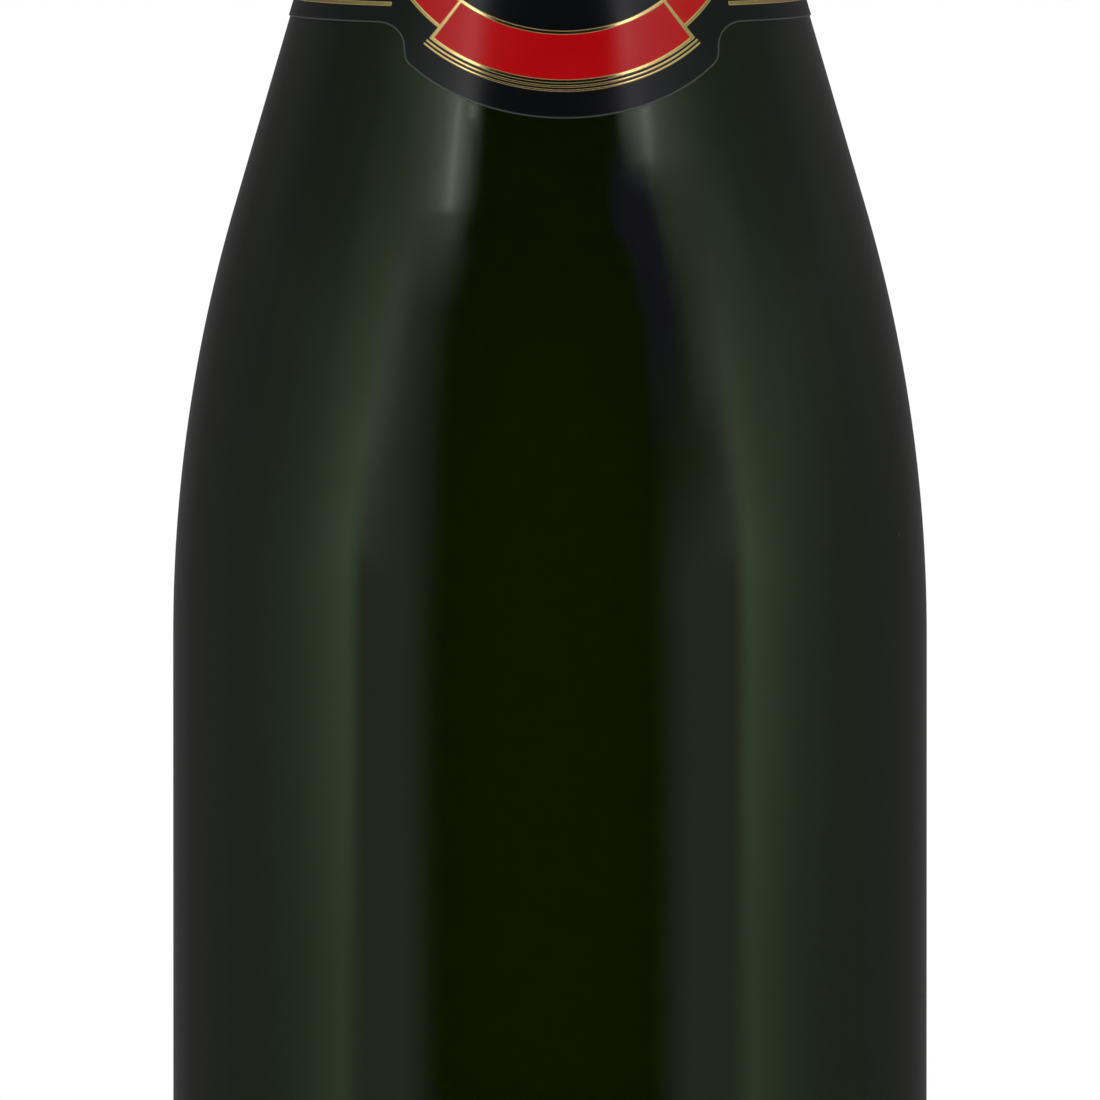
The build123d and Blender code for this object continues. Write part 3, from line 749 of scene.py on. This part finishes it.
def make_foil(name, line, push, finish, body, slot, stands_for, around=300, notch=None):
    """A foil wall from a line of (inner radius, height, outward direction) points, turned about Z."""
    turns = [2 * pi * i / around for i in range(around)]
    if notch:
        half = asin(notch[0] / line[0][0])
        turns = [t for t in turns if min(t, 2 * pi - t) > half * 1.15]
        turns = [0.0, half / 2, half] + turns + [2 * pi - half, 2 * pi - half / 2]
    outer, inner = [], []
    for radius, z, across, up in line:
        for t in turns:
            r_in = radius + push(t, z) * across
            z_in = z + push(t, z) * up
            inner.append((r_in * cos(t), r_in * sin(t), z_in))
            r_out = r_in + foil_thickness * across
            outer.append((r_out * cos(t), r_out * sin(t), z_in + foil_thickness * up))

    def cut_out(face):
        """Whether the face lies in the notch."""
        row, first = divmod(face[0], len(turns))
        middle = (turns[first] + (turns + [2 * pi])[first + 1]) / 2
        return line[row + 1][1] <= notch[1] + 1e-6 and min(middle, 2 * pi - middle) < half

    faces = [f for f in ring_faces(len(line), len(turns)) if not notch or not cut_out(f)]
    thin_piece(name, outer, inner, faces, finish, body, slot, stands_for)


def sleeve_line():
    """The sleeve's inner line: down the bottle's side, with a flare at its top."""
    start = side_radius(sleeve_flare_bottom - 4, foil_gap), sleeve_flare_bottom - 4
    foot = side_radius(sleeve_flare_bottom, foil_gap), sleeve_flare_bottom
    across, rise = hood_radius - foot[0], sleeve_flare_top - sleeve_flare_bottom
    side = [(side_radius(z, foil_gap), z) for z in stepped(sleeve_bottom, start[1], 60)]
    side += rounded([start, foot, (hood_radius, sleeve_flare_top)], [sleeve_flare_round], 8)[1:-1]
    side += [(foot[0] + across * part, foot[1] + rise * part) for part in stepped(0.25, 1.0, 11)]
    return [(radius, z, cos(slope) if z < 215 else 1.0, 0.0) for radius, z in side]


def hood_line():
    """The hood's inner line with its outward directions, from the hem to the top's inner rim."""
    shoulder = hood_radius - hood_shoulder_inset
    inner = rounded(
        [
            (hood_radius, hood_bottom),
            (hood_radius + hood_swell, hood_swell_height),
            (shoulder, hood_shoulder_height),
            (shoulder, hood_flange_bottom),
            (hood_flange_radius, hood_flange_bottom),
        ],
        [hood_hem_round, hood_top_round, hood_top_round],
        10,
    )
    dense = [p for p in finer(inner, 1.2) + [inner[-1]] if abs(p[1] - notch_top) > 0.4]
    part_way = (notch_top - hood_bottom) / (hood_swell_height - hood_bottom)
    dense.append((hood_radius + hood_swell * part_way, notch_top))
    line = sorted(dense, key=lambda p: min(p[1], hood_shoulder_height - 4))
    result = []
    for i, (r, z) in enumerate(line):
        a, b = Vector(line[max(0, i - 1)]), Vector(line[min(len(line) - 1, i + 1)])
        along = (b - a).normalized()
        result.append((r, z, along.y, -along.x))
    return result


foil_rings = ((213.0, 0.4), (214.2, 0.2), (267.6, 0.4), (278.2, 0.4), (310.6, 0.4), (309.4, 0.2))
black_foil = pressed_foil("black lacquered foil", "363437", "4F4B51", 0.3, 0.6, foil_rings)
gold_foil = pressed_foil("gold lacquered foil", "DBAE58", "F4D184", 0.28, 0.2)
tab_foil = pressed_foil("ribbed gold foil of the tab", "EBC87C", "FFE7AE", 0.24, 0.05, ribs=0.06)

make_foil("neck_foil", sleeve_line(), sleeve_push, black_foil, "bottle", "black_foil", ["foil_sleeve"])
band_heights = stepped(tear_band_bottom, tear_band_top, 6)
band_line = [(hood_radius, z, 1.0, 0.0) for z in band_heights]
make_foil("tear_strip", band_line, still, gold_foil, "bottle", "gold_foil", ["tear_band"])
hood_rest = black_foil, "hood", "black_foil", ["foil_hood"], 390, (notch_half_width, notch_top)
make_foil("hood_foil", hood_line(), hood_push, *hood_rest)


# Rows of small marks, by geometry nodes
def mark_row_tree():
    """A row of small rounded marks on a circle round Z: its sizes in metres are the tree's inputs."""
    tree = bpy.data.node_groups.new("row of marks", "GeometryNodeTree")
    inputs = {"Count": 90, "Ring radius": 0.0178, "Height": 0.27, "Start": 0.0, "Sweep": 2 * pi}
    inputs.update({"Outward size": 0.0001, "Round size": 0.0004, "Up size": 0.0001, "Lean": 0.0})
    inputs.update({"Unevenness": 0.1, "Seed": 3, "Finish": None})
    kinds = {int: "NodeSocketInt", float: "NodeSocketFloat", type(None): "NodeSocketMaterial"}
    for name, value in inputs.items():
        socket = tree.interface.new_socket(name=name, in_out="INPUT", socket_type=kinds[type(value)])
        if value is not None:
            socket.default_value = value
    tree.interface.new_socket(name="Marks", in_out="OUTPUT", socket_type="NodeSocketGeometry")
    sizes = add("NodeGroupInput", tree=tree).node.outputs
    reach = [sizes[key] for key in ("Count", "Ring radius", "Start", "Sweep")]
    arc = add("GeometryNodeCurveArc", *reach)
    raised = add("GeometryNodeSetPosition", arc, Offset=add("CombineXYZ", 0.0, 0.0, sizes["Height"]))
    right, back, _ = add("SeparateXYZ", add("GeometryNodeInputPosition", tree=tree)).node.outputs
    facing = add("CombineXYZ", 0.0, sizes["Lean"], add("Math", back, right, operation="ARCTAN2"))
    bead = add("GeometryNodeMeshUVSphere", Radius=1.0, Segments=8, Rings=5, tree=tree)
    size = add("CombineXYZ", sizes["Outward size"], sizes["Round size"], sizes["Up size"])
    least, most = (add("Math", 1.0, sizes["Unevenness"], operation=way) for way in ("SUBTRACT", "ADD"))
    uneven = add("FunctionNodeRandomValue", least, most, Seed=sizes["Seed"])
    scaled = add("VectorMath", size, Scale=uneven, operation="SCALE")
    placed = {"Points": raised, "Instance": bead, "Rotation": facing, "Scale": scaled}
    made = add("GeometryNodeInstanceOnPoints", **placed)
    for step in ("GeometryNodeRealizeInstances", "GeometryNodeSetShadeSmooth"):
        made = add(step, made)
    made = add("GeometryNodeSetMaterial", Geometry=made, Material=sizes["Finish"])
    add("NodeGroupOutput", made)
    return tree


def make_marks(name, body, slot, finish, size, unevenness, rows):
    """One piece from rows of marks, each as big as size: outward, round and up, in mm."""
    shared = {"Unevenness": unevenness, "Finish": finish}
    shared.update(zip(("Outward size", "Round size", "Up size"), (s * MM for s in size)))
    points, faces = [], []
    for row in rows:
        values = {**shared, **row}
        holder = new_object("marks", bpy.data.meshes.new("marks"))
        modifier = holder.modifiers.new("marks", "NODES")
        modifier.node_group = marks
        for item in marks.interface.items_tree:
            if item.in_out == "INPUT" and item.name in values:
                modifier[item.identifier] = values[item.name]
        whole = holder.evaluated_get(bpy.context.evaluated_depsgraph_get())
        mesh = bpy.data.meshes.new_from_object(whole)
        first = len(points)
        points += [v.co / MM for v in mesh.vertices]
        faces += [tuple(first + i for i in face.vertices) for face in mesh.polygons]
        holder.modifiers.clear()
        bpy.data.objects.remove(holder)
    make_piece(name, points, faces, finish, body, slot, sharp=80.0)


def mark_row(count, radius, height, **more):
    """The inputs of a row of so many marks, its radius and height in mm."""
    return {"Count": count, "Ring radius": radius * MM, "Height": height * MM, **more}


def heel_row(lean, seed):
    """A row of the heel's grip marks, where the heel's round has turned by that angle."""
    radius, height = bearing_outer + heel_radius * sin(lean), heel_radius * (1 - cos(lean))
    return mark_row(120, radius, height, Lean=-lean, Seed=seed)


marks = mark_row_tree()
heel_rows = [heel_row(radians(17), 5), heel_row(radians(29), 6)]
make_marks("heel_grip_marks", "bottle", "dark_glass", mark_glass(), (0.7, 0.42, 0.18), 0.12, heel_rows)

foil_radius, edge_inset = hood_radius + foil_thickness, 0.5
tear_heights = tear_band_bottom + edge_inset, tear_band_top - edge_inset
tear_rows = [mark_row(108, foil_radius, z, Seed=seed) for z, seed in zip(tear_heights, (11, 12))]
hole_size, bead_size = (0.06, 0.34, 0.13), (0.1, 0.22, 0.22)
make_marks("tear_strip_perforation", "bottle", "gold_foil", gold_foil, hole_size, 0.08, tear_rows)

sleeve_row = mark_row(120, foil_radius - 0.16, sleeve_flare_top - 0.8)
make_marks("sleeve_beading", "bottle", "black_foil", black_foil, bead_size, 0.05, [sleeve_row])
hood_row = mark_row(118, foil_radius + 0.014, hood_bottom + 0.9, Start=radians(8), Sweep=radians(344))
make_marks("hood_beading", "hood", "black_foil", black_foil, bead_size, 0.05, [hood_row])

# The parts that keep their own shape
kept = {"cork_body": pressed_cork(), "cap_plaque": lacquered_plaque()}
kept.update({"foil_top_disc": gold_foil, "tear_tab": tab_foil})
kept.update(dict.fromkeys(("cork_disc_upper", "cork_disc_lower"), cut_cork()))
wires = ["belt_wire", "twist_handle"] + [f"cage_wire_{i}" for i in range(1, 5)]
kept.update(dict.fromkeys(wires, drawn_wire()))
for node, finish in kept.items():
    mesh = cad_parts[node].data
    mesh.materials.clear()
    mesh.materials.append(finish)


# Stage, light and camera
def stage_sheet(name, points, faces, material):
    """A mesh that isn't part of the bottle, in metres."""
    made = new_object(name, new_mesh(name, points, faces, material))
    return made


def seen_rays(tree):
    """1 for the rays that show the backdrop itself, and 0 for those that only carry its light."""
    rays = add("LightPath", tree=tree).node.outputs
    return either(rays["Is Camera Ray"], rays["Is Glossy Ray"], rays["Is Transmission Ray"])


def white_floor():
    """A plain pale floor. Away from the bottle it is the plain white of the backdrop."""
    material, place = new_finish("pale studio floor")
    far = add("MapRange", add("VectorMath", place, operation="LENGTH"), 0.25, 0.9)
    white = both(seen_rays(material.node_tree), far)
    matt = add("BsdfDiffuse", (0.93, 0.93, 0.93, 1.0), tree=material.node_tree)
    glow = add("Emission", (1.0, 1.0, 1.0, 1.0), 1.0, tree=material.node_tree)
    return finished(material, add("MixShader", white, matt, glow))


def tent_light():
    """The light tent's wall, lit as the table below says."""
    material, _ = new_finish("light tent wall")
    level = add("Attribute", tree=material.node_tree, attribute_name="level")
    return finished(material, add("Emission", level, 1.0))


# The tent's wall is dark behind the camera, dim beside it and lit by a soft light further round.
# A height in metres: the dim wall's level, the degrees from the camera where the light begins and is full,
# its level there, the degrees in which it falls by half, and the level of a bright strip at its near edge.
# Over 0.21 m the right half has a share of that. A streak on each side and dusk on the right are added.
tent_rows = {
    0.04: (0.33, 58, 67, 0.67, 16, 0.0),
    0.07: (0.31, 59, 66, 0.86, 15, 0.0),
    0.14: (0.33, 59, 66, 0.98, 14, 0.0),
    0.24: (0.29, 50, 63, 0.89, 15, 0.0),
    0.29: (0.3, 45, 60, 0.76, 20, 0.0),
    0.37: (0.32, 46, 57, 0.68, 18, 0.0),
    0.43: (0.0, 27, 44, 0.6, 22, 0.0),
    0.46: (0.0, 30, 40, 0.9, 17, 0.0),
    0.476: (0.0, 28, 38, 0.95, 17, 0.0),
    0.482: (0.0, 27, 37, 0.96, 17, 0.0),
    0.488: (0.0, 27, 37, 0.93, 18, 0.0),
    0.4895: (0.0, 27, 37, 0.9, 19, 2.4),
    0.505: (0.0, 27, 37, 0.9, 19, 2.4),
    0.525: (0.0, 27, 37, 1.4, 40, 1.2),
    0.75: (0.0, 27, 37, 1.4, 40, 1.2),
    1.2: (0.0, 26, 46, 0.42, 90, 0.0),
}
tent_radius, skirt_height, glass_radius = 0.6, 0.0006, 0.042
skirt = ((0.07, 1.0), (0.11, 0.6), (0.17, 0.25), (0.26, 0.05), (tent_radius, 0.0))
skirt_level, lamp_rest, strip_middle, strip_width = 0.5, 0.08, 36.5, 4
streak_level, dusk_colour = 1.85, (0.075, 0.012, 0.23)


def tent_level(seen, row):
    """How bright the tent is at that angle from the camera, by one row of the table."""
    wall, start, full, light, half, strip = row
    lit = ramp(seen, start, full)
    lamp = lamp_rest + (light - lamp_rest) * 0.5 ** (max(0.0, seen - full) / half)
    edge = strip * exp(-(((seen - strip_middle) / strip_width) ** 2))
    return wall * ramp(seen, 31, 47) * (1 - lit) + lamp * lit + edge


def tent_streak(turn, seen, height, flank):
    """A narrow bright streak, which the flank mirrors beside the middle of its upper part."""
    middle = 41.8 if turn > 0 else 40.3
    fall = 3.0 if seen < middle else 3.5 if turn > 0 else 4.3
    return streak_level * exp(-abs(seen - middle) / fall) * flank * (1 - ramp(height, 0.486, 0.4895))


def right_share(seen, height):
    """How much of the left half's light the right half has, below the streak."""
    high = ramp(height, 0.40, 0.43)
    near = 0.5 + (0.39 + 0.11 * high) * ramp(seen, 52 - 10 * high, 64)
    return near + (0.31 - 0.26 * high) * ramp(seen, 70, 84)


def tent_dusk(turn, height, level_height):
    """How much of the wall's light is blue dusk. It is on the right, and nearer the middle higher up."""
    high = ramp(level_height, 0.43, 0.49)
    near, far = 30 - 9 * high, 40 - 3 * high
    across = ramp(turn, near, near + 6) * (1 - ramp(turn, far, far + 11 - 2 * high))
    return across * ramp(height, 0.25, 0.33) * (1 - ramp(level_height, 0.4955, 0.502))


def tent_colour(turn, ring, height, span, floor_share):
    """The tent's colour at a place: its turn from the camera, its ring's radius and height, and the two
    heights of the table that it lies between with its share of the way."""
    seen = abs(turn)
    for _ in range(3):
        seen = abs(turn) + degrees(asin(glass_radius / ring * sin(radians(min(seen, 180) / 2))))
    if turn > 0:
        seen += 1.5 * (1 - ramp(height, 0.14, 0.24))
    low, high, part = span
    level = tent_level(seen, tent_rows[low]) * (1 - part) + tent_level(seen, tent_rows[high]) * part
    level += (skirt_level - level) * floor_share
    # what the flank mirrors in one line across the picture lies lower the further round it is
    level_height = height + 0.112 * (1 - cos(radians(min(seen, 90))))
    flank = ramp(level_height, 0.4965, 0.5025) if turn > 0 else ramp(level_height, 0.4875, 0.4945)
    if turn > 0 and height > 0.21:
        share = right_share(seen, height)
        level *= share + (1 - share) * flank
    level += tent_streak(turn, seen, height, flank)
    level += 0.02 * (1 - ramp(height, 0.24, 0.32)) * ramp(seen, 85, 105) * (1 - ramp(seen, 120, 145))
    dusk = tent_dusk(turn, height, level_height)
    green = min(1.0, max(0.0, (seen - 58) / 5)) * min(1.0, max(0.0, (130 - seen) / 40))
    tint = [level * (1 - 0.2 * green), level, level * (1 - 0.28 * green)]
    return [wall + (blue - wall) * dusk for wall, blue in zip(tint, dusk_colour)] + [1.0]


def make_tent():
    """The tent round the bottle, with a skirt on the floor. Only gloss shows it, so it shades nothing."""
    points, colours, around = [], [], 240
    heights = list(tent_rows)
    rings = [(ring, skirt_height, (heights[0], heights[0], 0.0), share) for ring, share in skirt]
    for low, high in zip(heights, heights[1:]):
        count = max(1, round((high - low) / 0.004)) if 0.43 <= low < 0.5 else 1
        for k in range(count):
            rings.append((tent_radius, low + (high - low) * k / count, (low, high, k / count), 0.0))
    rings.append((tent_radius, heights[-1], (heights[-1], heights[-1], 0.0), 0.0))
    for ring, height, *rest in rings:
        for i in range(around):
            turn = 360 * i / around - 180
            points.append((ring * sin(radians(turn)), -ring * cos(radians(turn)), height))
            colours += tent_colour(turn, ring, height, *rest)
    tent = stage_sheet("light_tent", points, ring_faces(len(rings), around), tent_light())
    level = tent.data.attributes.new("level", "FLOAT_COLOR", "POINT")
    level.data.foreach_set("color", colours)
    tent.visible_camera = tent.visible_diffuse = tent.visible_shadow = tent.visible_transmission = False
    return tent


floor_points, floor_faces = turned([(0, 0), (0.3, 0), (1.0, 0), (40.0, 0)], 64)
stage_sheet("floor", floor_points, floor_faces, white_floor())

camera_turn = radians(-3.0)
make_tent().rotation_euler = (0, 0, camera_turn)

world = bpy.data.worlds.new("studio")
bpy.context.scene.world = world
world.use_nodes = True
sky = world.node_tree
sky.nodes.clear()
sky_level = add("MapRange", seen_rays(sky), 0.0, 1.0, 0.6, 1.0)
add("OutputWorld", add("Background", (1.0, 1.0, 1.0, 1.0), sky_level))


def aim(thing, place, way):
    """Puts a lamp or the camera at that place, looking that way."""
    thing.location = place
    thing.rotation_mode = "QUATERNION"
    thing.rotation_quaternion = way.to_track_quat("-Z", "Y")


lamp_reach, lamp_height, lamp_aim = 1.3, 0.75, Vector((0, 0, 0.16))
for side, turn in (("left", -62.0), ("right", 62.0)):
    lamp = bpy.data.lights.new(f"soft_light_{side}", "AREA")
    lamp.shape, lamp.size, lamp.size_y, lamp.energy = "RECTANGLE", 0.7, 1.2, 9.0
    holder = new_object(lamp.name, lamp)
    a = radians(turn) + camera_turn
    place = Vector((lamp_reach * sin(a), -lamp_reach * cos(a), lamp_height))
    aim(holder, place, lamp_aim - place)
    holder.visible_camera = holder.visible_glossy = False

# The picture is 129.58 mm wide at the bottle's axis, its middle is 120 mm up, and the view is a long lens.
picture_width, picture_middle = 0.12958, 0.12002
camera_data = bpy.data.cameras.new("camera")
camera = new_object("camera", camera_data)
lift, reach = radians(2.9), 5.5
camera_data.sensor_width = 36.0
camera_data.lens = camera_data.sensor_width * reach / picture_width
camera_data.clip_start, camera_data.clip_end = 0.05, 100.0
back = Vector((sin(camera_turn) * cos(lift), -cos(camera_turn) * cos(lift), sin(lift)))
aim(camera, Vector((0, 0, picture_middle)) + back * reach, -back)
bpy.context.scene.camera = camera
bpy.context.scene.view_settings.view_transform = "Standard"
